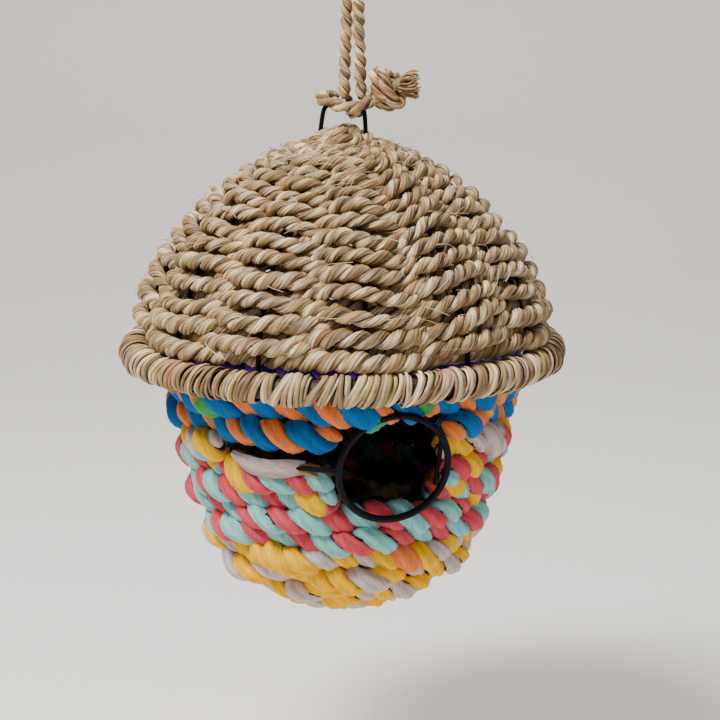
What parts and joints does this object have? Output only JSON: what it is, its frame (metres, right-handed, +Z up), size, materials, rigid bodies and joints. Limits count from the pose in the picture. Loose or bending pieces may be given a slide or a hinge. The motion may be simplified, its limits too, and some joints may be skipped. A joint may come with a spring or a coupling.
{
  "type": "birdhouse",
  "caption": "Hanging woven birdhouse: rope-woven dome roof and cotton-cord basket on a wire frame, round entrance, rope loop hitched to a wire bail.",
  "frame": {"origin": "inner top of the hanging rope's bight, where a hook holds it", "axes": "+Z up along the house's upright length; the entrance faces -Y"},
  "size_m": [0.1804, 0.1804, 0.287],
  "materials": {
    "black_wire": "satin black coated wire",
    "seagrass_rope": "twisted two-ply seagrass, dry and matte",
    "seagrass_binding": "wound seagrass blades, faint sheen",
    "hanging_rope": "twisted two-ply seagrass rope",
    "cotton_blue": "twisted cotton jersey strips, blue and orange with some green",
    "cotton_white": "twisted cotton jersey strips, off-white and coral",
    "cotton_coral": "twisted cotton jersey strips, coral and aqua",
    "cotton_yellow": "twisted cotton jersey strips, yellow and off-white",
    "cotton_purple": "cotton jersey strip, purple and dark blue"
  },
  "bodies": {
    "hanger": {"hanging_rope": "hanging_rope", "hitch_bridge": "hanging_rope", "hitch_saddle": "hanging_rope", "rope_knot": "hanging_rope", "rope_tail": "hanging_rope"},
    "house": {"bail": "black_wire", "base_pad": "cotton_yellow", "base_ring": "black_wire", "crown_plug": "seagrass_rope", "crown_ring": "black_wire", "eave_lining": "cotton_purple", "eave_ring": "black_wire", "entrance_arm": "black_wire", "entrance_ring": "black_wire", "rib_01_lower": "black_wire", "rib_01_upper": "black_wire", "rib_02": "black_wire", "rib_03": "black_wire", "rib_04": "black_wire", "rib_05": "black_wire", "rib_06": "black_wire", "rib_07": "black_wire", "rib_08": "black_wire", "rib_09": "black_wire", "rib_10": "black_wire", "rib_11": "black_wire", "rib_12": "black_wire", "rim_binding": "seagrass_binding", "roof_course_01": "seagrass_rope", "roof_course_02": "seagrass_rope", "roof_course_03": "seagrass_rope", "roof_course_04": "seagrass_rope", "roof_course_05": "seagrass_rope", "roof_course_06": "seagrass_rope", "roof_course_07": "seagrass_rope", "roof_course_08": "seagrass_rope", "roof_course_09": "seagrass_rope", "roof_course_10": "seagrass_rope", "roof_course_11": "seagrass_rope", "roof_course_12": "seagrass_rope", "roof_course_13": "seagrass_rope", "roof_course_14": "seagrass_rope", "wall_course_01": "cotton_blue", "wall_course_02": "cotton_blue", "wall_course_03": "cotton_yellow", "wall_course_04": "cotton_white", "wall_course_05": "cotton_coral", "wall_course_06": "cotton_coral", "wall_course_07": "cotton_coral", "wall_course_08": "cotton_yellow", "wall_course_09": "cotton_yellow", "wall_course_10": "cotton_yellow", "wall_course_11": "cotton_yellow", "wall_course_12": "cotton_yellow"}
  },
  "joints": [
    {"name": "house_swing", "type": "hinge", "parent": "hanger", "child": "house", "pos_m": [0, 0, -0.0815], "axis": [0.766, -0.6428, 0], "range_deg": [-45, 45]}
  ]
}
